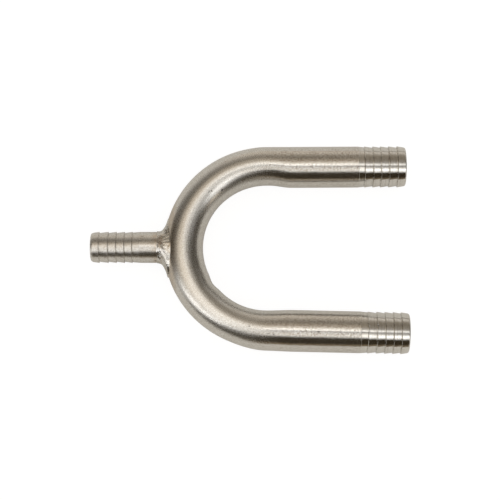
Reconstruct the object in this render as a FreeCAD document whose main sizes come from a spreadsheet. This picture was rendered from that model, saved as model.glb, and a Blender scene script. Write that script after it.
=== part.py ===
import FreeCAD, Part
import os
import Sketcher

# Barbed U-bend: a tube bent into a U with hose barbs turned on both legs, and a smaller
# barbed stub welded onto the outside of its crown.
# Everything is worked out about the centre of the bend, with X along the legs, Y across
# them and Z up. The finished pieces are then set down: the underside of the bend on z = 0,
# and the middle of the whole length over x = 0.

doc = FreeCAD.newDocument("barbed_u_bend")
sheet = doc.addObject("Spreadsheet::Sheet", "sizes")

# Driving dimensions in millimetres and degrees
sizes = {
    # bent tube
    "tube_od": 12.7,
    "tube_wall": 1.245,
    "bend_radius": 25.4,  # to the middle of the tube
    "springback": 0.8,  # how far each leg has opened from parallel
    "upper_leg": 43.1,  # tangent point to tip
    "lower_leg": 43.7,
    # flattening of the bend: how far its walls are drawn in from the true tube
    "height_gain": 0.1,
    "wall_shift": 0.15,  # thinner outside, thicker inside
    "inner_flat_start": 0.76,
    "inner_flat_end": 0.34,
    "outer_flat": 0.12,
    "flat_entry": 14,
    "sag_depth": 0.66,
    "sag_start": 74,
    "sag_peak": 155,
    "sag_end": 183,
    "shoulder_hold": 1,  # the step on the upper leg, past the tangent point
    "shoulder_length": 8,
    "runoff_length": 9,  # the softer one on the lower leg
    # kink in the inner wall
    "kink_turn": 123.5,
    "kink_depth": 0.4,
    "kink_spread": 9,
    # barbs on the legs
    "barb_count": 5,
    "barb_pitch": 2.52,
    "barb_depth": 0.35,
    "barb_step": 0.2,
    "barb_runout": 1.9,
    "nose_chamfer": 0.4,
    "bore_deburr": 0.2,
    # stub
    "stub_od": 9.525,
    "stub_wall": 1.245,
    "stub_length": 22.25,  # out from the tube's true wall
    "stub_lean": 0.45,
    "stub_barb_pitch": 2.55,
    "stub_barb_depth": 0.32,
    "stub_runout": 2.2,
    "stub_nose_chamfer": 0.5,
    # weld round the stub
    "weld_toe": 0.12,
    "weld_start": 1.95,  # its edge on the stub, out from the tube's true wall
    "weld_leg": 3.3,
    "weld_root": 2,
    "weld_flare": 4.15,
    "weld_crest": 0.1,
    "weld_sag": 0.2,
}
for row, (alias, value) in enumerate(sizes.items(), start=1):
    sheet.set(f"A{row}", alias)
    sheet.set(f"B{row}", str(value))
    sheet.setAlias(f"B{row}", alias)
doc.recompute()

# Expressions that several pieces share
bend_angle = "(180 - 2 * sizes.springback)"
tube_radius = "(sizes.tube_od / 2)"
tube_bore = "(sizes.tube_od - 2 * sizes.tube_wall)"
stub_radius = "(sizes.stub_od / 2)"
stub_bore = "(sizes.stub_od - 2 * sizes.stub_wall)"
stub_tip = f"({tube_radius} + sizes.stub_length)"
air = "1"


def number(expression):
    """The value of an expression on the sheet."""
    return float(sheet.evalExpression(expression))


def eased(place, start, end):
    """A share that rises smoothly from 0 at start to 1 at end."""
    along = f"max(0; min(1; ({place} - {start}) / ({end} - {start})))"
    return f"((1 - cos(180 * {along})) / 2)"


def place_at(x, y, z, yaw, pitch="0", roll="0"):
    return f"placement(vector({x}; {y}; {z}); rotation({yaw}; {pitch}; {roll}))"


# Ovals of the bent tube
# An oval stands square to the tube, at Turn degrees round the bend from the upper tangent
# point, or Along millimetres past it (lower leg) or before it (upper leg). Fade takes the
# flattening off again along the legs.


def tube_oval(name, turn, along, fade, bore):
    oval = doc.addObject("Part::Ellipse", name)
    for prop in ("Turn", "Along", "Fade", "OuterDraw", "InnerDraw", "Radius", "Heading"):
        oval.addProperty("App::PropertyFloat", prop)
    oval.setExpression("Turn", turn)
    oval.setExpression("Along", along)
    oval.setExpression("Fade", fade)
    entry = eased("Turn", "0", "sizes.flat_entry")
    sag = eased("Turn", "sizes.sag_start", "sizes.sag_peak")
    rise = eased("Turn", "sizes.sag_peak", "sizes.sag_end")
    oval.setExpression(
        "OuterDraw",
        f"Fade * (sizes.outer_flat * {entry} + sizes.sag_depth * {sag} * (1 - {rise}))",
    )
    flat = (
        "sizes.inner_flat_start"
        f" + (sizes.inner_flat_end - sizes.inner_flat_start) * Turn / {bend_angle}"
    )
    kink = "sizes.kink_depth * max(0; 1 - abs(Turn - sizes.kink_turn) / sizes.kink_spread)"
    oval.setExpression("InnerDraw", f"Fade * ({flat} + {kink})")
    inset = "sizes.tube_wall" if bore else "0"
    shift = "sizes.wall_shift * Fade" if bore else "0"
    oval.setExpression("MajorRadius", f"{tube_radius} + sizes.height_gain * Fade - {inset}")
    oval.setExpression("MinorRadius", f"{tube_radius} - (OuterDraw + InnerDraw) / 2 - {inset}")
    oval.setExpression("Radius", f"sizes.bend_radius + (InnerDraw - OuterDraw) / 2 + {shift}")
    oval.setExpression("Heading", f"180 - {bend_angle} / 2 + Turn")
    x = "Radius * cos(Heading) - Along * sin(Heading)"
    y = "Radius * sin(Heading) + Along * cos(Heading)"
    oval.setExpression("Placement", place_at(x, y, "0", "Heading - 90", "-90"))
    return oval


def loft(name, sections):
    """A solid with straight walls from each section to the next."""
    skin = doc.addObject("Part::Loft", name)
    skin.Sections = sections
    skin.Solid = True
    skin.Ruled = True
    return skin


def fuse(name, shapes):
    whole = doc.addObject("Part::MultiFuse", name)
    whole.Shapes = shapes
    whole.Refine = False
    return whole


def cut(name, base, tool):
    rest = doc.addObject("Part::Cut", name)
    rest.Base = base
    rest.Tool = tool
    rest.Refine = False
    return rest


# The bend is ruled in narrow bands. Marks part them at the port's sides and at the kink.
crown = f"({bend_angle} / 2)"
port_reach = f"(asin({stub_bore} / (2 * sizes.bend_radius)) / 1 deg)"
kink_start = "(sizes.kink_turn - sizes.kink_spread)"
kink_end = "(sizes.kink_turn + sizes.kink_spread)"
shoulder_band_count = 2
runoff_band_count = 2
turn_marks = ["0", f"({crown} - {port_reach})", crown, f"({crown} + {port_reach})",
              kink_start, "sizes.kink_turn", kink_end, bend_angle]
outside_band_counts = [11, 1, 1, 2, 1, 1, 6]
bore_band_counts = [7, 1, 1, 2, 1, 1, 4]


def bend_solid(name, turn_band_counts, bore):
    """The bend and its lead into each leg, ruled in bands that keep the kink's crease."""
    ovals = []

    def add(turn, along="0", fade="1"):
        ovals.append(tube_oval(f"{name}_oval{len(ovals)}", turn, along, fade, bore))

    for band in range(shoulder_band_count):
        rest = f"(sizes.shoulder_length - sizes.shoulder_hold) * {band} / {shoulder_band_count}"
        fade = f"1 - {eased('-Along', 'sizes.shoulder_hold', 'sizes.shoulder_length')}"
        add("0", f"-sizes.shoulder_length + {rest}", fade)
    add("0", "-sizes.shoulder_hold")
    add("0")
    for begin, end, band_count in zip(turn_marks, turn_marks[1:], turn_band_counts):
        for band in range(1, band_count + 1):
            add(f"{begin} + ({end} - {begin}) * {band} / {band_count}")
    for band in range(1, runoff_band_count + 1):
        along = f"sizes.runoff_length * {band} / {runoff_band_count}"
        add(bend_angle, along, f"1 - {eased('Along', '0', 'sizes.runoff_length')}")
    return loft(name, ovals)


# Turned, barbed tube ends
# Each is turned about its own X axis, from its root to its tip.


def profile(body, name, points):
    """A closed outline in the body's XY plane, every corner bound to its expressions."""
    sketch = body.newObject("Sketcher::SketchObject", name)
    plane = next(f for f in body.Origin.OriginFeatures if f.Role == "XY_Plane")
    sketch.AttachmentSupport = [(plane, "")]
    sketch.MapMode = "FlatFace"
    corners = [FreeCAD.Vector(number(x), number(y), 0) for x, y in points]
    count = len(corners)
    for i in range(count):
        sketch.addGeometry(Part.LineSegment(corners[i], corners[(i + 1) % count]))
    for i in range(count):
        sketch.addConstraint(Sketcher.Constraint("Coincident", i, 2, (i + 1) % count, 1))
    for i, (x, y) in enumerate(points):
        for kind, letter, expression in (("DistanceX", "x", x), ("DistanceY", "y", y)):
            label = f"{letter}{i}"
            constraint = Sketcher.Constraint(kind, -1, 1, i, 1, number(expression))
            index = sketch.addConstraint(constraint)
            sketch.renameConstraint(index, label)
            sketch.setExpression(f"Constraints.{label}", expression)
    return sketch


def turned(body, kind, name, sketch):
    """A Revolution or Groove of the sketch about the body's X axis."""
    feature = body.newObject(f"PartDesign::{kind}", name)
    feature.Profile = sketch
    feature.ReferenceAxis = (sketch, ["H_Axis"])
    feature.Angle = 360
    return feature


def round_edge(feature, x, radius):
    """The name of the round edge at this place and radius on a turned piece."""
    for i, edge in enumerate(feature.Shape.Edges, start=1):
        curve = edge.Curve
        if not isinstance(curve, Part.Circle):
            continue
        if abs(curve.Radius - radius) < 0.01 and abs(curve.Center.x - x) < 0.01:
            return f"Edge{i}"
    raise RuntimeError(f"{feature.Name} has no round edge of radius {radius} at {x}")


def barbed_end(name, start, tip, outside, bore, pitch, depth, runout, nose):
    """A length of tube with barbs that rise steeply on the root side and fall to the tip."""
    body = doc.addObject("PartDesign::Body", name)
    wall = [(start, f"{bore} / 2"), (tip, f"{bore} / 2"), (tip, f"{outside} / 2"),
            (start, f"{outside} / 2")]
    blank = turned(body, "Revolution", f"{name}_blank", profile(body, f"{name}_wall", wall))
    doc.recompute()
    volumes = [blank.Shape.Volume]

    skin = f"{outside} / 2"
    above = f"{outside} / 2 + {air}"
    root = f"{outside} / 2 - {depth}"
    first_crest = f"{tip} - sizes.barb_count * {pitch}"
    second_crest = f"{first_crest} + {pitch}"
    notch_points = [(first_crest, skin), (f"{second_crest} - sizes.barb_step", root),
                    (second_crest, skin), (second_crest, above), (first_crest, above)]
    notch = turned(body, "Groove", f"{name}_notch",
                   profile(body, f"{name}_notch_outline", notch_points))
    doc.recompute()
    volumes.append(body.Shape.Volume)

    notches = body.newObject("PartDesign::LinearPattern", f"{name}_notches")
    notches.Originals = [notch]
    notches.Direction = (notch.Profile[0], ["H_Axis"])
    notches.setExpression("Occurrences", "sizes.barb_count - 1")
    notches.setExpression("Length", f"{pitch} * (sizes.barb_count - 2)")
    body.Tip = notches
    doc.recompute()
    volumes.append(body.Shape.Volume)

    runout_points = [(f"{first_crest} - {runout}", skin),
                     (f"{first_crest} - sizes.barb_step", root),
                     (first_crest, skin), (first_crest, above),
                     (f"{first_crest} - {runout}", above)]
    turned(body, "Groove", f"{name}_runout",
           profile(body, f"{name}_runout_outline", runout_points))
    doc.recompute()
    volumes.append(body.Shape.Volume)

    last_crest = f"{tip} - {pitch}"
    slope = f"{depth} / ({pitch} - sizes.barb_step)"
    taper_points = [(last_crest, skin), (f"{tip} + {air}", f"{skin} - {slope} * ({pitch} + {air})"),
                    (f"{tip} + {air}", above), (last_crest, above)]
    taper = turned(body, "Groove", f"{name}_taper",
                   profile(body, f"{name}_taper_outline", taper_points))
    doc.recompute()
    volumes.append(body.Shape.Volume)
    for before, now in zip(volumes, volumes[1:]):
        if now >= before:
            raise RuntimeError(f"a groove of {name} cuts nothing")

    tip_radius = f"{skin} - {slope} * {pitch}"
    bevel = body.newObject("PartDesign::Chamfer", f"{name}_nose")
    bevel.Base = (taper, [round_edge(taper, number(tip), number(tip_radius))])
    bevel.setExpression("Size", f"min({nose}; 0.7 * ({tip_radius} - {bore} / 2))")
    doc.recompute()
    deburr = body.newObject("PartDesign::Chamfer", f"{name}_deburr")
    deburr.Base = (bevel, [round_edge(bevel, number(tip), number(f"{bore} / 2"))])
    deburr.setExpression("Size", f"min(sizes.bore_deburr; 0.2 * ({tip_radius} - {bore} / 2))")
    body.Tip = deburr
    return body


def leg_end(name, start, tip, turn, yaw):
    body = barbed_end(name, start, tip, "sizes.tube_od", tube_bore, "sizes.barb_pitch",
                      "sizes.barb_depth", "sizes.barb_runout", "sizes.nose_chamfer")
    heading = f"(180 - {bend_angle} / 2 + {turn})"
    x = f"sizes.bend_radius * cos({heading})"
    y = f"sizes.bend_radius * sin({heading})"
    body.setExpression("Placement", place_at(x, y, "0", yaw))
    return body


# Bent tube
bend_outside = bend_solid("bend_outside", outside_band_counts, bore=False)
bend_bore = bend_solid("bend_bore", bore_band_counts, bore=True)
bend_tube = cut("bend_tube", bend_outside, bend_bore)
upper_end = leg_end("upper_end", "sizes.shoulder_length", "sizes.upper_leg", "0",
                    "sizes.springback")
lower_end = leg_end("lower_end", "sizes.runoff_length", "sizes.lower_leg", bend_angle,
                    "-sizes.springback")
bent_tube = fuse("bent_tube", [upper_end, bend_tube, lower_end])

# The stub's axis runs out of the crown, almost straight back from the legs
stub_yaw = "180 + sizes.stub_lean"
port_hole = doc.addObject("Part::Cylinder", "port_hole")
port_hole.setExpression("Radius", f"{stub_bore} / 2")
port_hole.setExpression("Height", "sizes.tube_od")
port_hole.setExpression("Placement", place_at("-sizes.bend_radius", "0", "0", stub_yaw, "90"))
u_bend_tube = cut("u_bend_tube", bent_tube, port_hole)

# Stub, coped to the outside of the crown
stub_blank = barbed_end("stub_blank", "0", stub_tip, "sizes.stub_od", stub_bore,
                        "sizes.stub_barb_pitch", "sizes.stub_barb_depth", "sizes.stub_runout",
                        "sizes.stub_nose_chamfer")
stub_blank.setExpression("Placement", place_at("-sizes.bend_radius", "0", "0", stub_yaw))
barbed_stub = cut("barbed_stub", stub_blank, bend_outside)

# Weld bead: a skirt that flares from the stub onto the tube's wall, wide along the tube and
# narrow over its top and bottom
flare_steps = 6


def weld_oval(name, share, deeper="0"):
    """An oval of the skirt, at a share of the way in from its edge on the stub."""
    top = f"{stub_radius} + sizes.weld_toe + sizes.weld_crest * {eased(share, '0', '1')}"
    out = f"({tube_radius} + sizes.weld_start - sizes.weld_leg * {share} - {deeper})"
    side = f"sizes.weld_sag * {share}"
    oval = doc.addObject("Part::Ellipse", name)
    oval.setExpression("MinorRadius", top)
    oval.setExpression("MajorRadius", f"{top} + sizes.weld_flare * ({share}) ^ 3")
    x = f"-sizes.bend_radius - {out} * cos(sizes.stub_lean)"
    y = f"-{out} * sin(sizes.stub_lean) - {side}"
    # its long axis lies across the stub, along the tube
    oval.setExpression("Placement", place_at(x, y, "0", "90 + sizes.stub_lean", "0", "90"))
    return oval


flare = []
for step in range(flare_steps):
    flare.append(weld_oval(f"weld_oval{step}", f"({step} / {flare_steps - 1})"))
flare.append(weld_oval("weld_oval_root", "1", "sizes.weld_root"))
skirt = loft("weld_skirt", flare)
off_tube = cut("weld_off_tube", skirt, bend_outside)
stub_envelope = doc.addObject("Part::Cylinder", "stub_envelope")
stub_envelope.setExpression("Radius", stub_radius)
stub_envelope.setExpression("Height", stub_tip)
stub_envelope.setExpression("Placement", place_at("-sizes.bend_radius", "0", "0", stub_yaw, "90"))
weld_bead = cut("weld_bead", off_tube, stub_envelope)

# Set down on z = 0 with the middle of the length over x = 0
tangent_step = "sizes.bend_radius * sin(sizes.springback)"
legs_reach = f"(sizes.lower_leg * cos(sizes.springback) - {tangent_step})"
stub_reach = f"(sizes.bend_radius + {stub_tip} * cos(sizes.stub_lean))"
middle = f"(({legs_reach} - {stub_reach}) / 2)"
pieces = [u_bend_tube, barbed_stub, weld_bead]
for piece in pieces:
    piece.Label = piece.Name
    piece.setExpression(
        "Placement", place_at(f"-{middle}", "0", f"{tube_radius} + sizes.height_gain", "0")
    )
doc.recompute()

# Nothing is written unless every object is sound
for thing in doc.Objects:
    if "Invalid" in thing.State or "Error" in thing.State:
        raise RuntimeError(f"{thing.Name} failed: {thing.State}")
for piece in pieces:
    if piece.Shape.isNull() or not piece.Shape.isValid() or len(piece.Shape.Solids) != 1:
        raise RuntimeError(f"{piece.Label} is not one valid solid")
os.makedirs("parts", exist_ok=True)
for piece in pieces:
    piece.Shape.exportStep(f"parts/{piece.Label}.step")
    box = piece.Shape.BoundBox
    print(f"{piece.Label}: volume {piece.Shape.Volume:.1f} mm3,"
          f" x {box.XMin:.2f} to {box.XMax:.2f}, y {box.YMin:.2f} to {box.YMax:.2f},"
          f" z {box.ZMin:.2f} to {box.ZMax:.2f}")
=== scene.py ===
import bmesh
import bpy
import math
import numpy as np
from mathutils import Matrix, Vector


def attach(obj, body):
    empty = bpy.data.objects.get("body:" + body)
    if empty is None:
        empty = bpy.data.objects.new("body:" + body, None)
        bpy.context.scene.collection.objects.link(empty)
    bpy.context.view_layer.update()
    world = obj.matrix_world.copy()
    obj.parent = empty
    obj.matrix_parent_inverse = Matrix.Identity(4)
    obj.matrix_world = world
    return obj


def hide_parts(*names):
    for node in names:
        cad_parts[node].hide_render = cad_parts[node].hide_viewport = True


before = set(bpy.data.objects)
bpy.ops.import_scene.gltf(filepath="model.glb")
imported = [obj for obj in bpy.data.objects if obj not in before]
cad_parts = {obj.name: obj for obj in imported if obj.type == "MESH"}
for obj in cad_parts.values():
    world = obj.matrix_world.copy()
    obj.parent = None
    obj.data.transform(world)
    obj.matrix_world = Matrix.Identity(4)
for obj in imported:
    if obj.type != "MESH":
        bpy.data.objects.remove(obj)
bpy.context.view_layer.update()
scene = bpy.context.scene
mm = 0.001  # shapes are in millimetres and degrees until they become meshes
print("frame loaded:", ", ".join(sorted(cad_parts)))


def eased(place, start, end):
    # rises smoothly from 0 at start to 1 at end
    share = min(1.0, max(0.0, (place - start) / (end - start)))
    return (1 - math.cos(math.pi * share)) / 2


# the bent tube's form
tube = {
    "od": 12.7, "wall": 1.245, "bendRadius": 25.4, "springback": 0.8,
    "upperLeg": 43.1, "lowerLeg": 43.7,  # tangent point to tip
    "heightGain": 0.1, "wallShift": 0.15,  # the bend is a little higher, and its bore lies further out
    "innerFlat": (0.76, 0.34), "outerFlat": 0.12, "flatEntry": 14,  # how far bending drew the walls in
    "sagDepth": 0.66, "sagStart": 74, "sagPeak": 155, "sagEnd": 183,
    "shoulderHold": 1, "shoulder": 8, "runoff": 9,  # over which the bend's form fades into each leg
    "kinkTurn": 123.5, "kinkDepth": 0.42, "kinkSpread": 8.5, "kinkRound": 0.6, "kinkNarrow": 1.6,
    "around": 128,  # points round the tube
    "bendStep": 0.42, "fadeStep": 0.45, "legStep": 1.2, "boreStep": 1.6,  # between rings
    "boreTurns": 60,  # rings of the bore in the bend
    "kinkRings": (-0.9, -0.45, 0, 0.45, 0.9), "kinkClear": 1.1,  # rings at the kink, and none else this near
    "sharp": 15,
}
stub = {
    "od": 9.525, "wall": 1.245, "length": 22.25, "lean": 0.45,
    "crests": (2.5, 5.3, 7.8, 10.3, 12.7),  # from the tip
    "barbDepth": 0.32, "barbStep": 0.2, "runout": 2.2, "nose": 0.7, "deburr": 0.2,
    "around": 112,
    "rootEnd": 9.2, "plainStep": 0.8, "boreStep": 1.5,  # rings: where the coped root ends, then between
    "sharp": 15,
}
legBarbs = {
    "upperCrests": (2.5, 5.1, 7.6, 10.0, 12.6), "upperTurned": 14.5,  # from the tip
    "lowerCrests": (2.4, 4.8, 7.3, 9.8, 12.5), "lowerTurned": 14.7,
    "barbDepth": 0.35, "barbStep": 0.2, "nose": 0.38, "deburr": 0.2,
}
# what the lathe left: runs along the tube and depths under its surface
lathed = {
    "startRun": 0.04, "startDepth": 0.035,
    "firstShare": 0.6,  # the first barb rises from the tube's own skin
    "footRun": 0.2, "footRise": 0.03, "grooveRun": 0.12, "grooveDepth": 0.07,
    "lipRun": 0.05, "lipDepth": 0.05, "crestDepth": 0.004,
    "landRun": 0.08, "landDepth": 0.012, "landEnd": 0.3,
    "noseTurn": 10,  # degrees between points on the rounded nose
}
bendAngle = 180 - 2 * tube["springback"]
tubeRadius = tube["od"] / 2
stubRadius = stub["od"] / 2
stubTip = tubeRadius + stub["length"]
spring = math.radians(tube["springback"])
lean = math.radians(stub["lean"])
legsReach = tube["lowerLeg"] * math.cos(spring) - tube["bendRadius"] * math.sin(spring)
stubReach = tube["bendRadius"] + stubTip * math.cos(lean)
bendCentre = np.array([(stubReach - legsReach) / 2, 0.0, tubeRadius + tube["heightGain"]])


def draws(turn, along):
    # how far the wall is drawn in: outside, inside, and how much of the bend's form is there
    if along < 0:
        fade = 1 - eased(-along, tube["shoulderHold"], tube["shoulder"])
    else:
        fade = 1 - eased(along, 0, tube["runoff"])
    sag = eased(turn, tube["sagStart"], tube["sagPeak"])
    sag *= 1 - eased(turn, tube["sagPeak"], tube["sagEnd"])
    outer = tube["outerFlat"] * eased(turn, 0, tube["flatEntry"]) + tube["sagDepth"] * sag
    start, end = tube["innerFlat"]
    inner = start + (end - start) * turn / bendAngle
    return fade * outer, fade * inner, fade


def kinkAt(turn):
    # a crease with straight flanks, its bottom only just rounded
    off = abs(turn - tube["kinkTurn"])
    return tube["kinkDepth"] * max(0.0, 1 - math.hypot(off, tube["kinkRound"]) / tube["kinkSpread"])


def tubeRing(turn, along, drop=0.0, bore=False):
    # a ring square to the tube, as points round the bend's centre, the same ring unbent,
    # and the tube's own direction there
    count = tube["around"]
    outer, inner, fade = draws(turn, along)
    inset = tube["wall"] if bore else drop
    high = tubeRadius + tube["heightGain"] * fade - inset
    wide = tubeRadius - (outer + inner) / 2 - inset
    shift = (inner - outer) / 2 + (tube["wallShift"] * fade if bore else 0)
    angles = np.linspace(0, 2 * math.pi, count, endpoint=False)
    out = shift + wide * np.cos(angles)
    up = high * np.sin(angles)
    inward = np.clip(-np.cos(angles), 0, 1)
    dent = kinkAt(turn) if along == 0 else 0
    out += dent * inward ** tube["kinkNarrow"]
    heading = math.radians(180 - bendAngle / 2 + turn)
    reach = tube["bendRadius"] + out
    x = reach * math.cos(heading) - along * math.sin(heading)
    y = reach * math.sin(heading) + along * math.cos(heading)
    path = math.radians(turn - bendAngle / 2) * tube["bendRadius"] + along
    unbent = np.column_stack([np.full(count, path), out, up])
    lengthwise = np.tile([-math.sin(heading), math.cos(heading), 0.0], (count, 1))
    return np.column_stack([x, y, up]), unbent, lengthwise


def turnedProfile(length, crests, turnedFrom, form, wall):
    # (distance from the root, how far under the tube's own surface) along a barbed end
    depth, step, nose, deburr = (form[key] for key in ("barbDepth", "barbStep", "nose", "deburr"))
    crests = sorted(length - c for c in crests)
    slope = depth / ((crests[-1] - crests[0]) / (len(crests) - 1) - step)
    points = [(length - turnedFrom, 0.0),
              (length - turnedFrom + lathed["startRun"], lathed["startDepth"])]
    for index, crest in enumerate(crests):
        foot = depth if index else lathed["firstShare"] * depth
        groove = foot + lathed["grooveDepth"]
        points += [
            (crest - step - lathed["footRun"], foot - lathed["footRise"]),
            (crest - step - lathed["grooveRun"], groove),
            (crest - step, groove),
            (crest - lathed["lipRun"], lathed["lipDepth"]),
            (crest, lathed["crestDepth"]),
            (crest + lathed["landRun"], lathed["landDepth"]),
            (crest + lathed["landEnd"],
             lathed["landDepth"] + slope * (lathed["landEnd"] - lathed["landRun"])),
        ]
    tipDrop = slope * (length - crests[-1])
    points.append((length - nose, tipDrop - slope * nose))
    for angle in range(lathed["noseTurn"], 90, lathed["noseTurn"]):
        turn = math.radians(angle)
        points.append((length - nose + nose * math.sin(turn), tipDrop + nose * (1 - math.cos(turn))))
    points.append((length, tipDrop + nose))
    points.append((length, wall - deburr))
    points.append((length - deburr, wall))
    return points


def spaced(start, end, step):
    # even places after start, up to end, no more than a step apart
    count = max(1, int(math.ceil(abs(end - start) / step)))
    return list(np.linspace(start, end, count + 1))[1:]


def ringMesh(name, rings):
    # closes a list of rings, all with as many points, into one skin
    # each ring brings its points, the same points unbent, and the tube's own direction there
    rings, coords, ways = zip(*rings)
    count = len(rings[0])
    points = np.vstack(rings)
    total = len(rings)
    faces = []
    for i in range(total):
        a, b = i * count, ((i + 1) % total) * count
        for j in range(count):
            k = (j + 1) % count
            faces.append((a + j, a + k, b + k, b + j))
    mesh = bpy.data.meshes.new(name)
    mesh.from_pydata([tuple(p) for p in (points + bendCentre) * mm], [], faces)
    for title, values in (("unbent", coords), ("lengthwise", ways)):
        layer = mesh.attributes.new(title, "FLOAT_VECTOR", "POINT")
        layer.data.foreach_set("vector", np.vstack(values).astype(np.float32).ravel())
    mesh.polygons.foreach_set("use_smooth", [True] * len(faces))
    mesh.validate()
    mesh.update()
    obj = bpy.data.objects.new(name, mesh)
    scene.collection.objects.link(obj)
    return obj


def turnOutward(obj, sharp):
    # a closed skin whose faces point in has a negative volume; edges over the sharp angle stay crisp
    work = bmesh.new()
    work.from_mesh(obj.data)
    if work.calc_volume(signed=True) < 0:
        bmesh.ops.reverse_faces(work, faces=work.faces)
    print(f"  {obj.name}: {work.calc_volume(signed=True) / mm ** 3:.1f} mm3, {len(work.faces)} faces")
    work.to_mesh(obj.data)
    work.free()
    obj.data.set_sharp_from_angle(angle=math.radians(sharp))


def makeBentTube():
    rings = []

    def leg(length, crests, turnedFrom):
        return turnedProfile(length, crests, turnedFrom, legBarbs, tube["wall"])

    def add(turn, along, **how):
        rings.append(tubeRing(turn, along, **how))

    upper = leg(tube["upperLeg"], legBarbs["upperCrests"], legBarbs["upperTurned"])
    lower = leg(tube["lowerLeg"], legBarbs["lowerCrests"], legBarbs["lowerTurned"])
    for place, drop in reversed(upper):
        add(0, -place, drop=drop)
    for place in spaced(upper[0][0], tube["shoulder"], tube["legStep"]):
        add(0, -place)
    for place in spaced(tube["shoulder"], 0, tube["fadeStep"])[:-1]:
        add(0, -place)
    kink = tube["kinkTurn"]
    bendSteps = int(math.radians(bendAngle) * tube["bendRadius"] / tube["bendStep"])
    turns = [t for t in np.linspace(0, bendAngle, bendSteps) if abs(t - kink) > tube["kinkClear"]]
    for turn in sorted(turns + [kink + off for off in tube["kinkRings"]]):
        add(turn, 0)
    for place in spaced(0, tube["runoff"], tube["fadeStep"]):
        add(bendAngle, place)
    for place in spaced(tube["runoff"], lower[0][0], tube["legStep"])[:-1]:
        add(bendAngle, place)
    for place, drop in lower:
        add(bendAngle, place, drop=drop)
    # back through the bore
    for place in spaced(lower[-1][0], 0, tube["boreStep"])[:-1]:
        add(bendAngle, place, bore=True)
    for turn in np.linspace(bendAngle, 0, tube["boreTurns"]):
        add(turn, 0, bore=True)
    for place in spaced(0, upper[-1][0], tube["boreStep"])[:-1]:
        add(0, -place, bore=True)
    obj = ringMesh("bent_tube", rings)
    turnOutward(obj, tube["sharp"])
    return obj


def crownSurface(y, z):
    # how far out from the bend's centre the tube's outer wall lies at this place by the crown
    outer, inner, _ = draws(bendAngle / 2, 0)
    high = tubeRadius + tube["heightGain"]
    wide = tubeRadius - (outer + inner) / 2
    shift = (inner - outer) / 2
    reach = tube["bendRadius"] + shift + wide * np.sqrt(np.clip(1 - (z / high) ** 2, 0, 1))
    return np.sqrt(np.clip(reach ** 2 - y ** 2, 0, None))


def stubRing(out, across, up):
    # a ring by its distance out from the tube's middle line at the crown, across and up; with it
    # those three distances and the stub's own direction
    count = len(across)
    x = -tube["bendRadius"] - out * math.cos(lean) + across * math.sin(lean)
    y = -out * math.sin(lean) - across * math.cos(lean)
    outward = np.tile([-math.cos(lean), -math.sin(lean), 0.0], (count, 1))
    return np.column_stack([x, y, up]), np.column_stack([out + np.zeros(count), across, up]), outward


def makeStub():
    angles = np.linspace(0, 2 * math.pi, stub["around"], endpoint=False)
    turnedFrom = stub["crests"][-1] + stub["runout"]
    profile = turnedProfile(stubTip, stub["crests"], turnedFrom, stub, stub["wall"])
    boreRadius = stubRadius - stub["wall"]
    rings = []

    def add(out, radius):
        rings.append(stubRing(out, radius * np.cos(angles), radius * np.sin(angles)))

    def coped(radius):
        # how far out the coped root starts, round the stub
        across, up = radius * np.cos(angles), radius * np.sin(angles)
        return crownSurface(across + (tubeRadius * math.sin(lean)), up) - tube["bendRadius"]

    add(coped(stubRadius), stubRadius)
    for place in spaced(stub["rootEnd"], profile[0][0], stub["plainStep"])[:-1]:
        add(place, stubRadius)
    for place, drop in profile:
        add(place, stubRadius - drop)
    for place in spaced(profile[-1][0], stub["rootEnd"], stub["boreStep"])[:-1]:
        add(place, boreRadius)
    add(coped(boreRadius), boreRadius)
    obj = ringMesh("stub", rings)
    turnOutward(obj, stub["sharp"])
    return obj


# the weld round the stub's root
weld = {
    "start": 1.95, "startWander": 0.18,  # its edge on the stub, out from the tube
    "reach": 3.3, "flare": 4.15, "flareCurve": 3, "toe": 0.16, "crest": 0.1, "sag": 0.2,
    "sink": 0.3, "longest": 1.8, "halvings": 24,  # how deep the skirt ends in the tube, and its search
    "bite": 0.12, "lap": 0.02,  # how far the bead goes into the stub, and past its own edge
    "around": 360, "across": 44, "sharp": 60,
    # lumps and dents: degrees round the stub, share of the way to the tube, their spreads, height
    "lumps": (
        (62, 0.62, 9, 0.3, 0.42), (78, 0.3, 8, 0.2, 0.26), (46, 0.9, 9, 0.16, 0.2),
        (66, 0.03, 10, 0.07, 0.2), (112, 0.75, 15, 0.2, -0.3), (100, 0.36, 10, 0.12, -0.16),
        (128, 0.3, 12, 0.2, 0.14), (52, 0.2, 6, 0.09, -0.26), (40, 0.28, 4, 0.06, -0.22),
        (150, 0.12, 9, 0.08, 0.13), (176, 0.05, 7, 0.07, 0.16), (160, 0.6, 14, 0.2, 0.14),
        (16, 0.5, 16, 0.25, 0.12), (232, 0.4, 22, 0.3, 0.2), (270, 0.6, 26, 0.22, -0.15),
        (308, 0.3, 20, 0.25, 0.18), (340, 0.7, 16, 0.2, -0.14),
    ),
    "lumpLean": 26,  # degrees along the bead from the stub to the tube
    "swells": ((0.05, 2, 1.5, 7.7), (0.03, 5, -4, 2.9)),  # height, rate round, rate outward, seed
    "ripples": 46, "rippleHeight": 0.045, "rippleLean": 1.6, "rippleWander": (0.9, 3.1),
    "rippleCurve": 1.4, "rippleMiddle": 0.5, "rippleFrom": 0.55, "rippleFade": (0.25, 0.1),
    "undercut": 0.14, "undercutLeast": 0.35, "undercutAt": 0.06, "undercutWidth": 0.035,
    "startFade": (-0.06, 0.05), "endFade": (0.8, 1.0), "endCalm": 0.85,  # relief dies away at its edges
    "liftOutward": 0.6,
}
softWaves = ((1, 0.5), (2, 0.3), (5, 0.22), (9, 0.16), (17, 0.1))  # rate and size
phaseStart, phaseStep = 1.7, 2.3


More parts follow.
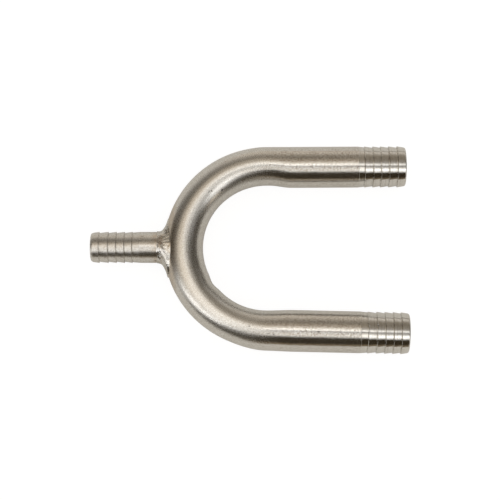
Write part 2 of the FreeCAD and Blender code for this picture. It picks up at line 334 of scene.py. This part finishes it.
def softNoise(x, seed):
    # a few sine waves that never line up, between about -1 and 1
    total = 0
    for k, (rate, size) in enumerate(softWaves):
        total = total + size * np.sin(rate * x + seed * (k + phaseStart) * phaseStep)
    return total


def weldRelief(angles, here):
    # how far the bead stands proud of its smooth skirt
    degrees = np.degrees(angles)
    total = 0
    for height, rate, outwardRate, seed in weld["swells"]:
        total = total + height * softNoise(angles * rate + outwardRate * here, seed)
    for angle, share, spreadAngle, spreadShare, height in weld["lumps"]:
        off = (degrees - angle + 180) % 360 - 180 + weld["lumpLean"] * (here - share)
        total = total + height * np.exp(-(off / spreadAngle) ** 2 - ((here - share) / spreadShare) ** 2)
    wander, seed = weld["rippleWander"]
    phase = weld["ripples"] / 2 * angles + weld["rippleLean"] * here + wander * softNoise(angles, seed)
    before, after = weld["rippleFade"]
    late = eased(here, weld["rippleFrom"] - before, weld["rippleFrom"] + after)
    wave = np.abs(np.sin(phase)) ** weld["rippleCurve"] - weld["rippleMiddle"]
    total = total + weld["rippleHeight"] * wave * late
    # a narrow undercut where the bead starts, deepest on top
    least = weld["undercutLeast"]
    cut = np.clip(least + (1 - least) * np.sin(angles), 0, 1)
    cut = cut * math.exp(-((here - weld["undercutAt"]) / weld["undercutWidth"]) ** 2)
    return total - weld["undercut"] * cut


def makeWeld():
    count, across = weld["around"], weld["across"]
    angles = np.linspace(0, 2 * math.pi, count, endpoint=False)
    start = weld["start"] + weld["startWander"] * softNoise(angles, 1.0)

    def skirt(share):
        # past its full reach the skirt runs straight on into the tube
        flared = np.minimum(share, 1)
        top = stubRadius + weld["toe"] + weld["crest"] * (1 - np.cos(np.pi * flared)) / 2
        side = top + weld["flare"] * flared ** weld["flareCurve"]
        out = tubeRadius + start - weld["reach"] * share
        return side * np.cos(angles) + weld["sag"] * flared, top * np.sin(angles), out

    # the share at which the skirt reaches the tube's wall, found by halving
    low, high = np.zeros(count), np.full(count, weld["longest"])
    for _ in range(weld["halvings"]):
        middle = (low + high) / 2
        side, up, out = skirt(middle)
        inside = out + tube["bendRadius"] < crownSurface(side, up) - weld["sink"]
        high = np.where(inside, middle, high)
        low = np.where(inside, low, middle)
    meets = (low + high) / 2
    rings = []
    for i in range(across + 1):
        here = i / across
        side, up, out = skirt(meets * here)
        hold = eased(here, *weld["startFade"]) * (1 - weld["endCalm"] * eased(here, *weld["endFade"]))
        lift = weldRelief(angles, here) * hold
        grow = 1 + lift / np.hypot(side, up)
        rings.append(stubRing(out + weld["liftOutward"] * lift, side * grow, up * grow))
    root = crownSurface(stubRadius * np.cos(angles), stubRadius * np.sin(angles)) - tube["bendRadius"]
    inner = stubRadius - weld["bite"]
    for out in (root - weld["sink"], tubeRadius + start + weld["lap"]):
        rings.append(stubRing(out, inner * np.cos(angles), inner * np.sin(angles)))
    obj = ringMesh("weld", rings)
    turnOutward(obj, weld["sharp"])
    return obj


bentTube = makeBentTube()
stubTube = makeStub()
weldBead = makeWeld()
print("meshes made")

port = {"around": 72, "above": 0.5, "sharp": 30}  # the drill starts this far outside the tube


def drillPort(target):
    # the hole through the tube's wall under the stub
    count = port["around"]
    angles = np.linspace(0, 2 * math.pi, count, endpoint=False)
    radius = stubRadius - stub["wall"]
    rings = [stubRing(out, radius * np.cos(angles), radius * np.sin(angles))[0]
             for out in (tubeRadius + port["above"], 0.0)]
    points = (np.vstack(rings) + bendCentre) * mm
    faces = [(j, (j + 1) % count, count + (j + 1) % count, count + j) for j in range(count)]
    faces += [tuple(range(count - 1, -1, -1)), tuple(range(count, 2 * count))]
    mesh = bpy.data.meshes.new("port_cutter")
    mesh.from_pydata([tuple(p) for p in points], [], faces)
    cutter = bpy.data.objects.new("port_cutter", mesh)
    scene.collection.objects.link(cutter)
    turnOutward(cutter, port["sharp"])
    cut = target.modifiers.new("port", "BOOLEAN")
    cut.operation = "DIFFERENCE"
    cut.object = cutter
    cut.solver = "EXACT"
    graph = bpy.context.evaluated_depsgraph_get()
    drilled = bpy.data.meshes.new_from_object(target.evaluated_get(graph))
    target.modifiers.clear()
    target.data = drilled
    bpy.data.objects.remove(cutter)
    print("  port drilled:", len(drilled.polygons), "faces")


drillPort(bentTube)


class Sheet:
    # shorthand for laying out shader nodes
    def __init__(self, tree):
        self.tree = tree
        tree.nodes.clear()

    def put(self, socket, value):
        if hasattr(value, "links"):
            self.tree.links.new(value, socket)
        elif isinstance(value, (tuple, list)) and len(value) == 3 and socket.type == "RGBA":
            socket.default_value = (*value, 1)
        else:
            socket.default_value = value

    def node(self, kind, inputs=None, **settings):
        made = self.tree.nodes.new("ShaderNode" + kind)
        for key, value in settings.items():
            setattr(made, key, value)
        for key, value in (inputs or {}).items():
            self.put(made.inputs[key], value)
        return made

    def math(self, kind, a, b=0.0):
        return self.node("Math", {0: a, 1: b}, operation=kind).outputs[0]

    def times(self, *values):
        total = values[0]
        for value in values[1:]:
            total = self.math("MULTIPLY", total, value)
        return total

    def plus(self, *values):
        total = values[0]
        for value in values[1:]:
            total = self.math("ADD", total, value)
        return total

    def ramp(self, value, low, high, start=0.0, end=1.0):
        made = self.node("MapRange", {"Value": value, "From Min": low, "From Max": high,
                                      "To Min": start, "To Max": end}, interpolation_type="SMOOTHSTEP")
        return made.outputs["Result"]

    def mix(self, share, a, b, blend="MIX"):
        made = self.node("Mix", data_type="RGBA", blend_type=blend)
        for index, value in ((0, share), (6, a), (7, b)):
            self.put(made.inputs[index], value)
        return made.outputs[2]

    def mixFloat(self, share, a, b):
        made = self.node("Mix", data_type="FLOAT")
        for index, value in ((0, share), (2, a), (3, b)):
            self.put(made.inputs[index], value)
        return made.outputs[0]

    def layer(self, title):
        return self.node("Attribute", attribute_name=title).outputs["Vector"]

    def parts(self, vector):
        return self.node("SeparateXYZ", {0: vector}).outputs

    def noise(self, vector, scales, detail, rough, moved):
        # scales are features a millimetre along the tube, outward and up
        placed = self.node("Mapping", {"Vector": vector, "Scale": scales, "Location": (moved, moved, moved)})
        made = self.node("TexNoise", {"Vector": placed.outputs["Vector"], "Scale": 1.0, "Detail": detail,
                                      "Roughness": rough})
        return made.outputs["Fac"]

    def grain(self, vector, kinds):
        return {name: self.noise(vector, *settings) for name, settings in kinds.items()}

    def mark(self, vector, place, halfLength, halfWidth, core=0.55):
        # 1 in the core of a mark that runs along the tube, fading towards its rim
        off = self.node("VectorMath", {0: vector, 1: place}, operation="SUBTRACT")
        size = (1 / halfLength, 1 / halfWidth, 1 / halfWidth)
        off = self.node("VectorMath", {0: off.outputs[0], 1: size}, operation="MULTIPLY")
        far = self.node("VectorMath", {0: off.outputs[0]}, operation="LENGTH").outputs["Value"]
        return self.ramp(far, 1.0, core)

    def marks(self, vector, group):
        dark = 0.0
        for place, halfLength, halfWidth, share in group:
            mark = self.mark(vector, place, halfLength, halfWidth)
            dark = self.math("MAXIMUM", dark, self.times(mark, share))
        return dark


steel = {
    "base": (0.69, 0.68, 0.643), "warm": (0.58, 0.53, 0.46), "pale": (0.715, 0.705, 0.675),
    "pit": (0.05, 0.042, 0.035), "tint": (0.5, 0.4, 0.29), "burnt": (0.3, 0.23, 0.17),
}


def startMetal(name):
    # a bare steel surface: returns its material, its sheet, its shader and the texture space
    material = bpy.data.materials.new(name)
    material.use_nodes = True
    s = Sheet(material.node_tree)
    metal = s.node("BsdfPrincipled", {"Metallic": 1.0})
    s.node("OutputMaterial", {"Surface": metal.outputs["BSDF"]})
    return material, s, metal, s.layer("unbent")


def relieve(s, metal, height):
    # heights in the sheets are in millimetres
    bump = s.node("Bump", {"Height": height, "Distance": mm, "Strength": 1.0})
    s.put(metal.inputs["Normal"], bump.outputs["Normal"])


# a grain has its scales, detail, roughness and offset; a ramp has its low and high, and then what it
# gives at each where that isn't 0 and 1
tubeGrain = {
    "sand": ((3.4, 3.4, 3.4), 4, 0.6, 0.0),
    "fine": ((8.5, 8.5, 8.5), 3, 0.6, 7.0),
    "hair": ((4.2, 0.14, 0.14), 5, 0.72, 0.0),
    "strands": ((1.5, 0.3, 0.3), 3, 0.6, 8.0),
    "lathe": ((9.0, 0.1, 0.1), 4, 0.7, 2.0),
    "rings": ((2.6, 0.07, 0.07), 3, 0.65, 4.0),
    "chatter": ((1.1, 1.6, 1.6), 3, 0.6, 5.0),
    "drawn": ((0.07, 2.6, 2.6), 4, 0.6, 0.0),
    "cloud": ((0.24, 0.24, 0.24), 3, 0.5, 3.0),
    "dots": ((2.9, 2.5, 2.5), 1, 0.5, 11.0),
    "grit": ((1.9, 1.4, 1.4), 1, 0.4, 13.0),
    "torn": ((3.0, 3.0, 3.0), 2, 0.5, 9.0),
}
tubeLook = {
    "turnedFade": (0.06, 0.02), "bendFade": (8, 6),  # mm either side of where each one starts
    "paleRamp": (0.35, 0.7), "warmRamp": (0.45, 0.75), "warmShare": 0.4,
    "ringRamp": (0.5, 0.66), "ringShare": 0.22,
    "fineRamp": (0.64, 0.78), "fineLegs": 0.35, "fineBarbs": 0.1,
    "dotRamp": (0.38, 0.72), "dotLegs": 0.5, "dotBend": 0.32, "dotBarbs": 0.18,
    "tintLength": 10.9, "tintHeight": 5.5, "tintRim": (1.3, 1.0),  # the oval that the weld's heat tinted
    "tintOutward": (1.5, 3.5), "tintRamp": (0.2, 0.6), "tintShare": 0.6,
    "tornRamp": (0.32, 0.5), "pitShare": 0.85,
    "roughLegs": 0.2, "roughBend": 0.29, "roughBarbs": 0.13, "roughPits": 0.3,
    "roughRamp": (0.3, 0.8, -0.03, 0.05),
    "stretchLegs": 0.82, "stretchBarbs": 0.7,  # how far the grain draws reflections out
    "strandShare": 1.3,
}
tubeHeights = {
    "hair": 0.014, "gritLegs": 0.019, "gritBend": 0.014, "lathe": 0.003, "rings": 0.008, "chatter": 0.012,
    "sandPlain": 0.014, "sandBarbs": 0.004, "fine": 0.003, "drawn": 0.022, "pits": -0.12,
}
# mm along the tube from the crown, outward and up from its middle; half length, half width, darkness
tubeMarks = (
    ((-22.6, -3.6, 5.1), 0.8, 0.42, 1.0), ((-18.9, -1.35, 6.2), 0.5, 0.2, 0.5),
    ((-19.6, -1.7, 6.1), 0.2, 0.45, 0.5), ((-12.1, -2.5, 5.8), 0.35, 0.24, 0.6),
    ((-10.8, -3.8, 5.0), 0.42, 0.26, 0.75), ((-9.2, -3.8, 4.9), 0.35, 0.22, 0.65),
    ((34.7, 0.1, 6.3), 0.65, 0.22, 0.8), ((40.6, 1.8, 6.1), 0.8, 0.16, 0.5),
    ((42.1, 1.9, 6.1), 0.4, 0.2, 0.5), ((55.5, 0.9, 6.3), 0.5, 0.27, 0.9),
    ((73.4, -1.5, 6.2), 0.33, 0.45, 1.0), ((70.9, -1.3, 6.2), 0.2, 0.4, 0.5),
)


def tubeFinish():
    look, heights = tubeLook, tubeHeights
    material, s, metal, spot = startMetal("bent_tube_steel")
    along, outward, up = s.parts(spot)
    grain = s.grain(spot, tubeGrain)
    halfBend = math.radians(bendAngle / 2) * tube["bendRadius"]
    upperTurned = -(halfBend + tube["upperLeg"] - legBarbs["upperTurned"])
    lowerTurned = halfBend + tube["lowerLeg"] - legBarbs["lowerTurned"]
    # 1 where the lathe has been
    before, after = look["turnedFade"]
    turned = s.math("MAXIMUM", s.ramp(along, upperTurned + before, upperTurned - after),
                    s.ramp(along, lowerTurned - before, lowerTurned + after))
    # 1 in the bend, where bending dulled the skin
    past, short = look["bendFade"]
    bend = s.ramp(s.math("ABSOLUTE", along), halfBend + past, halfBend - short)
    satin = s.times(s.math("SUBTRACT", 1.0, bend), s.math("SUBTRACT", 1.0, turned))
    # colour
    tone = s.mix(s.ramp(grain["cloud"], *look["paleRamp"]), steel["base"], steel["pale"])
    tone = s.mix(s.times(s.ramp(grain["sand"], *look["warmRamp"]), look["warmShare"]), tone, steel["warm"])
    ringed = s.times(s.ramp(grain["rings"], *look["ringRamp"]), turned, look["ringShare"])
    tone = s.mix(ringed, tone, steel["burnt"])
    fineShare = s.mixFloat(turned, look["fineLegs"], look["fineBarbs"])
    dotShare = s.mixFloat(turned, s.mixFloat(bend, look["dotLegs"], look["dotBend"]), look["dotBarbs"])
    speck = s.math("MAXIMUM", s.times(s.ramp(grain["fine"], *look["fineRamp"]), fineShare),
                   s.times(s.ramp(grain["dots"], *look["dotRamp"]), dotShare))
    tone = s.mix(speck, tone, steel["burnt"])
    # heat tint round the weld
    oval = s.math("SQRT", s.plus(s.math("POWER", s.times(along, 1 / look["tintLength"]), 2.0),
                                 s.math("POWER", s.times(up, 1 / look["tintHeight"]), 2.0)))
    tint = s.times(s.ramp(oval, *look["tintRim"]), s.ramp(outward, *look["tintOutward"]),
                   s.ramp(grain["sand"], *look["tintRamp"]))
    tone = s.mix(s.times(tint, look["tintShare"]), tone, steel["tint"])
    # pits, nicks and scratches
    ragged = s.times(s.marks(spot, tubeMarks), s.ramp(grain["torn"], *look["tornRamp"]))
    tone = s.mix(s.times(ragged, look["pitShare"]), tone, steel["pit"])
    s.put(metal.inputs["Base Color"], tone)
    # gloss
    rough = s.mixFloat(bend, look["roughLegs"], look["roughBend"])
    rough = s.mixFloat(turned, rough, look["roughBarbs"])
    rough = s.plus(rough, s.ramp(grain["sand"], *look["roughRamp"]), s.times(ragged, look["roughPits"]))
    s.put(metal.inputs["Roughness"], rough)
    stretch = s.plus(s.times(satin, look["stretchLegs"]), s.times(turned, look["stretchBarbs"]))
    s.put(metal.inputs["Anisotropic"], stretch)
    s.put(metal.inputs["Tangent"], s.layer("lengthwise"))
    # relief
    hair = s.plus(grain["hair"], s.times(grain["strands"], look["strandShare"]))
    gritHeight = s.plus(s.times(satin, heights["gritLegs"]), s.times(bend, heights["gritBend"]))
    relieve(s, metal, s.plus(
        s.times(hair, satin, heights["hair"]), s.times(grain["grit"], gritHeight),
        s.times(grain["lathe"], turned, heights["lathe"]),
        s.times(grain["rings"], turned, heights["rings"]),
        s.times(grain["chatter"], turned, heights["chatter"]),
        s.times(grain["sand"], s.mixFloat(turned, heights["sandPlain"], heights["sandBarbs"])),
        s.times(grain["fine"], s.mixFloat(turned, heights["fine"], 0.0)),
        s.times(grain["drawn"], bend, heights["drawn"]), s.times(ragged, heights["pits"])))
    return material


stubGrain = {
    "sand": ((3.2, 3.2, 3.2), 4, 0.6, 0.0),
    "hair": ((4.0, 0.15, 0.15), 5, 0.72, 0.0),
    "cloud": ((0.3, 0.3, 0.3), 3, 0.5, 3.0),
    "blotch": ((0.8, 0.8, 0.8), 4, 0.6, 6.0),
    "dots": ((2.9, 2.5, 2.5), 1, 0.5, 11.0),
}
stubLook = {
    "turnedFade": 0.05, "paleRamp": (0.35, 0.7), "warmRamp": (0.5, 0.8), "warmShare": 0.35,
    "dotRamp": (0.38, 0.72, 0.0, 0.4),
    "heatWander": 1.2, "heatReach": (11.2, 8.9), "heatRamp": (0.3, 0.62), "heatShare": 0.6,
    "roughPlain": 0.3, "roughBarbs": 0.34, "roughRamp": (0.3, 0.8, -0.03, 0.05), "stretch": 0.6,
}
stubHeights = {"hair": 0.012, "sand": 0.012, "pits": -0.1}
# mm out from the tube's middle line, across and up; half length, half width, darkness
stubMarks = (
    ((8.6, 4.45, 1.7), 0.62, 0.17, 0.9), ((13.3, -1.3, 4.55), 0.35, 0.28, 0.5),
    ((12.6, -2.6, 4.0), 0.5, 0.3, 0.3),
)


def stubFinish():
    look, heights = stubLook, stubHeights
    material, s, metal, spot = startMetal("stub_steel")
    out = s.parts(spot)[0]
    grain = s.grain(spot, stubGrain)
    edge = stubTip - stub["crests"][-1] - stub["runout"]
    turned = s.ramp(out, edge - look["turnedFade"], edge + look["turnedFade"])
    tone = s.mix(s.ramp(grain["cloud"], *look["paleRamp"]), steel["base"], steel["pale"])
    tone = s.mix(s.times(s.ramp(grain["sand"], *look["warmRamp"]), look["warmShare"]), tone, steel["warm"])
    tone = s.mix(s.ramp(grain["dots"], *look["dotRamp"]), tone, steel["burnt"])
    # the heat of the weld has browned the root
    reach = s.plus(out, s.times(grain["blotch"], look["heatWander"]))
    heat = s.times(s.ramp(reach, *look["heatReach"]), s.ramp(grain["blotch"], *look["heatRamp"]))
    tone = s.mix(s.times(heat, look["heatShare"]), tone, steel["tint"])
    dark = s.marks(spot, stubMarks)
    tone = s.mix(dark, tone, steel["pit"])
    s.put(metal.inputs["Base Color"], tone)
    rough = s.mixFloat(turned, look["roughPlain"], look["roughBarbs"])
    s.put(metal.inputs["Roughness"], s.plus(rough, s.ramp(grain["sand"], *look["roughRamp"])))
    s.put(metal.inputs["Anisotropic"], look["stretch"])
    s.put(metal.inputs["Tangent"], s.layer("lengthwise"))
    relieve(s, metal, s.plus(s.times(grain["hair"], heights["hair"]),
                             s.times(grain["sand"], heights["sand"]), s.times(dark, heights["pits"])))
    return material


weldGrain = {
    "cloud": ((0.5, 0.5, 0.5), 4, 0.6, 0.0),
    "sand": ((2.6, 2.6, 2.6), 5, 0.65, 0.0),
    "pits": ((1.5, 1.5, 1.5), 3, 0.5, 4.0),
}
weldLook = {
    "base": (0.66, 0.643, 0.605), "bright": (0.72, 0.71, 0.69),
    "tintRamp": (0.45, 0.72, 0.0, 0.65), "pitRamp": (0.6, 0.72), "pitShare": 0.4,
    # a burnt patch on top by the tube, and the bright lump beside it
    "burntPatch": ((7.2, -1.3, 5.0), 1.3, 1.9), "burntRamp": (0.25, 0.55), "burntShare": 0.75,
    "brightPatch": ((7.2, 2.3, 4.9), 1.9, 1.9), "brightShare": 0.9,
    "roughRamp": (0.3, 0.75, 0.14, 0.32),
}
weldHeights = {"cloud": 0.1, "sand": 0.05, "burnt": 0.12}


def weldFinish():
    look, heights = weldLook, weldHeights
    material, s, metal, spot = startMetal("weld_steel")
    grain = s.grain(spot, weldGrain)
    tone = s.mix(s.ramp(grain["cloud"], *look["tintRamp"]), look["base"], steel["tint"])
    tone = s.mix(s.times(s.ramp(grain["pits"], *look["pitRamp"]), look["pitShare"]), tone, steel["pit"])
    burnt = s.mark(spot, *look["burntPatch"])
    bright = s.mark(spot, *look["brightPatch"])
    burntShare = s.times(burnt, s.ramp(grain["sand"], *look["burntRamp"]), look["burntShare"])
    tone = s.mix(burntShare, tone, steel["burnt"])
    tone = s.mix(s.times(bright, look["brightShare"]), tone, look["bright"])
    s.put(metal.inputs["Base Color"], tone)
    s.put(metal.inputs["Roughness"], s.ramp(grain["sand"], *look["roughRamp"]))
    relieve(s, metal, s.plus(s.times(grain["cloud"], heights["cloud"]),
                             s.times(grain["sand"], heights["sand"]),
                             s.times(burnt, grain["sand"], heights["burnt"])))
    return material


for piece, node, slotName, finish in (
    (bentTube, "u_bend_tube", "bent_tube", tubeFinish()),
    (stubTube, "barbed_stub", "stub", stubFinish()),
    (weldBead, "weld_bead", "weld", weldFinish()),
):
    piece.data.materials.clear()
    piece.data.materials.append(finish)
    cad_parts[node].data.materials.clear()
    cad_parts[node].data.materials.append(finish)
    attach(piece, "root")
    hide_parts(node)
print("finishes given")


# floor, light and camera; sizes of the floor and the key light are in metres
studio = {
    "floorTone": (0.78, 0.74, 0.675), "floorSize": 0.4, "floorGlow": 1.12, "floorGlowShare": 0.82,
    "plainLight": 0.86,  # on matt surfaces, from all round
    "keyHeight": 1.2, "keyAcross": (0.14, 0.85), "keyAlong": (-0.8, -0.4),  # edges, as shares of its height
    "keyRadiance": 1.0,
}
# the room as the steel sees it. Each soft light has its place in degrees from straight up, towards +X
# and towards +Y, then its half length, half width, turn, glow and warmth
highLights = (
    (34, -29, 11, 6.7, -9, 2.75, 0.0),
    (-51, -34, 18, 7.9, -24, 2.15, 0.0),
    (63, -41, 4.2, 3, 17, 2.2, 0.39),
    (-18, -25, 3.4, 23, -35, 1.63, 0.0),
    (12, -24, 25.5, 3.3, 74, 1.1, 0.1),
    (-2, -7, 29, 7, 8, 1.06, 0.0),
    (4, 10, 5.4, 5.2, 21, 0.7, 0.05),
    (6, 1, 16, 3.6, 0, 0.75, 0.0),
    (-20, 5, 27, 12.7, 41, 0.9, 0.3),
    (4, -26, 13.9, 4.9, 7, 0.5, 0.2),
    (24, -39, 7.2, 48, 82, 0.41, 0.0),
)
lowLights = (
    (-78, 85, 33.7, 21.9, -12, 0.95, 0.1),
    (-5, 82, 29.8, 16.9, -38, 0.6, 0.24),
    (34, 67, 25, 6.1, -47, 0.48, 0.06),
    (-16, -90, 4.9, 54.5, -83, 0.27, 0.45),
)
room = {
    "base": (0.036, 0.025, 0.011),
    "nearEdge": (-0.77, -0.66), "leftSlant": 0.6, "rightSlant": 0.65,  # where the high lights end: tangents
    "gap": (8, -7.5, 14, 3.6, 0), "gapDepth": 0.93,  # the dark gap between them
    "greenLoss": 0.45,  # a warm light loses this much green for each share of blue
    "leastLevel": 1e-4, "leastHeight": 0.02,  # these keep the divisions safe straight up and level
}


def makeFloor():
    half = studio["floorSize"] / 2
    corners = [(-half, -half, 0), (half, -half, 0), (half, half, 0), (-half, half, 0)]
    mesh = bpy.data.meshes.new("floor")
    mesh.from_pydata(corners, [], [(0, 1, 2, 3)])
    floor = bpy.data.objects.new("floor", mesh)
    scene.collection.objects.link(floor)
    material = bpy.data.materials.new("pale_floor")
    material.use_nodes = True
    s = Sheet(material.node_tree)
    paper = s.node("BsdfDiffuse", {"Color": studio["floorTone"]})
    glow = s.node("Emission", {"Strength": studio["floorGlow"]})
    path = s.node("LightPath")
    share = s.times(path.outputs["Is Camera Ray"], studio["floorGlowShare"])
    both = s.node("MixShader", {0: share, 1: paper.outputs[0], 2: glow.outputs[0]})
    s.node("OutputMaterial", {"Surface": both.outputs[0]})
    mesh.materials.append(material)


def makeWorld():
    # white to the camera; to shiny surfaces a dark room with its soft lights
    world = bpy.data.worlds.new("studio")
    scene.world = world
    world.use_nodes = True
    s = Sheet(world.node_tree)
    path = s.node("LightPath")
    x, y, z = s.parts(s.node("TexCoord").outputs["Generated"])
    level = s.math("SQRT", s.plus(s.times(x, x), s.times(y, y)))
    level = s.math("MAXIMUM", level, room["leastLevel"])
    fromUp = s.times(s.math("ARCCOSINE", z), 180 / math.pi)
    place = s.node("CombineXYZ", {0: s.times(fromUp, s.math("DIVIDE", x, level)),
                                  1: s.times(fromUp, s.math("DIVIDE", y, level))}).outputs[0]

    def spot(across, along, length, width, turn):
        near = s.node("Mapping", {"Vector": place, "Location": (across, along, 0),
                                  "Scale": (length, width, 1), "Rotation": (0, 0, math.radians(turn))},
                      vector_type="TEXTURE").outputs[0]
        off = s.node("VectorMath", {0: near}, operation="LENGTH").outputs["Value"]
        return s.math("EXPONENT", s.times(off, off, -0.5))

    def lights(total, group):
        for across, along, length, width, turn, glow, warmth in group:
            soft = spot(across, along, length, width, turn)
            grey = s.node("CombineColor", {0: soft, 1: soft, 2: soft}).outputs[0]
            tint = (glow, glow * (1 - room["greenLoss"] * warmth), glow * (1 - warmth))
            total = s.mix(1.0, total, s.mix(1.0, grey, tint, "MULTIPLY"), "ADD")
        return total

    height = s.math("MAXIMUM", z, room["leastHeight"])
    u, v = s.math("DIVIDE", x, height), s.math("DIVIDE", y, height)
    slanted = s.plus(v, s.times(s.math("MINIMUM", u, 0.0), -room["leftSlant"]),
                     s.times(s.math("MAXIMUM", u, 0.0), room["rightSlant"]))
    gap = s.times(spot(*room["gap"]), room["gapDepth"])
    clear = s.times(s.ramp(slanted, *room["nearEdge"]), s.math("SUBTRACT", 1.0, gap))
    above = s.mix(1.0, lights((0.0, 0.0, 0.0), highLights), clear, "MULTIPLY")
    seenRoom = lights(s.mix(1.0, above, room["base"], "ADD"), lowLights)
    # what lights matt surfaces is plain and even
    shiny = s.mix(path.outputs["Is Glossy Ray"], (studio["plainLight"],) * 3, seenRoom)
    around = s.node("Background", {"Color": shiny})
    paper = s.node("Background", {"Color": (1, 1, 1)})
    seen = s.math("MAXIMUM", path.outputs["Is Camera Ray"], path.outputs["Is Transmission Ray"])
    both = s.node("MixShader", {0: seen, 1: around.outputs[0], 2: paper.outputs[0]})
    s.node("OutputWorld", {"Surface": both.outputs[0]})


def makeKey():
    # a long softbox overhead, on the camera's side
    height = studio["keyHeight"]
    left, right = (height * edge for edge in studio["keyAcross"])
    near, far = (height * edge for edge in studio["keyAlong"])
    data = bpy.data.lights.new("key_softbox", "AREA")
    data.shape = "RECTANGLE"
    data.size, data.size_y = right - left, far - near
    data.energy = studio["keyRadiance"] * math.pi * data.size * data.size_y
    key = bpy.data.objects.new("key_softbox", data)
    scene.collection.objects.link(key)
    key.location = ((left + right) / 2, (near + far) / 2, height)
    key.visible_camera = False
    key.visible_glossy = False  # the steel sees the soft lights instead


photo = {
    "tilt": 10.0, "distance": 430.0, "pixelsPerMm": 3.2523, "imageWidth": 500, "turn": 0.474,
    "aim": (-5.14, -0.64, 0.0),  # from the bend's centre
    "sensorWidth": 36, "nearest": 0.01, "farthest": 20,  # the last two in metres
}


def makeCamera():
    tilt, turn = math.radians(photo["tilt"]), math.radians(photo["turn"])
    back = Vector((0, -math.sin(tilt), math.cos(tilt)))
    right = Vector((math.cos(turn), math.sin(turn), 0))
    right = (right - right.dot(back) * back).normalized()
    up = back.cross(right)
    aim = Vector(bendCentre) + Vector(photo["aim"])
    data = bpy.data.cameras.new("camera")
    data.sensor_width = photo["sensorWidth"]
    data.lens = photo["pixelsPerMm"] * photo["distance"] * data.sensor_width / photo["imageWidth"]
    camera = bpy.data.objects.new("camera", data)
    scene.collection.objects.link(camera)
    turned = Matrix((right, up, back)).transposed().to_4x4()
    camera.matrix_world = Matrix.Translation((aim + back * photo["distance"]) * mm) @ turned
    data.clip_start, data.clip_end = photo["nearest"], photo["farthest"]
    scene.camera = camera


makeFloor()
makeWorld()
makeKey()
makeCamera()
scene.view_settings.view_transform = "Standard"
print("floor, light and camera set")
